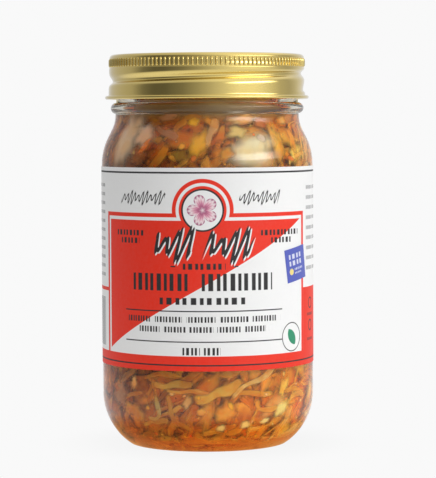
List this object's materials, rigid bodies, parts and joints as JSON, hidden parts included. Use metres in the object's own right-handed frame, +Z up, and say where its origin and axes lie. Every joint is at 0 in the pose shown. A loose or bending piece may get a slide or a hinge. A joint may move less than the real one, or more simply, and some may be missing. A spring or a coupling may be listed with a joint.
{
  "type": "sauerkraut jar",
  "caption": "Round clear glass preserving jar of cut sauerkraut in brine, with a wrap-round paper label and a gold metal screw lid.",
  "frame": {"origin": "middle of the base, on the plane that the jar stands on", "axes": "+Z up along the jar's axis to the lid, -Y out of the front of the label, +X to the right as seen from the front"},
  "size_m": [0.0768, 0.0766, 0.1406],
  "materials": {
    "clear_glass": "clear flint glass, polished by the mould, a little wavy",
    "cabbage": "wet translucent cabbage in amber brine, glossy",
    "gold_lid": "clear gold lacquer over pressed tinplate, gloss",
    "label_paper": "coated white paper with orange-red, black and green print, satin",
    "sticker_film": "blue printed film, satin"
  },
  "bodies": {
    "root": {"glass_jar": "clear_glass", "sauerkraut": "cabbage", "lid": "gold_lid", "label": "label_paper", "sticker": "sticker_film"}
  },
  "joints": []
}
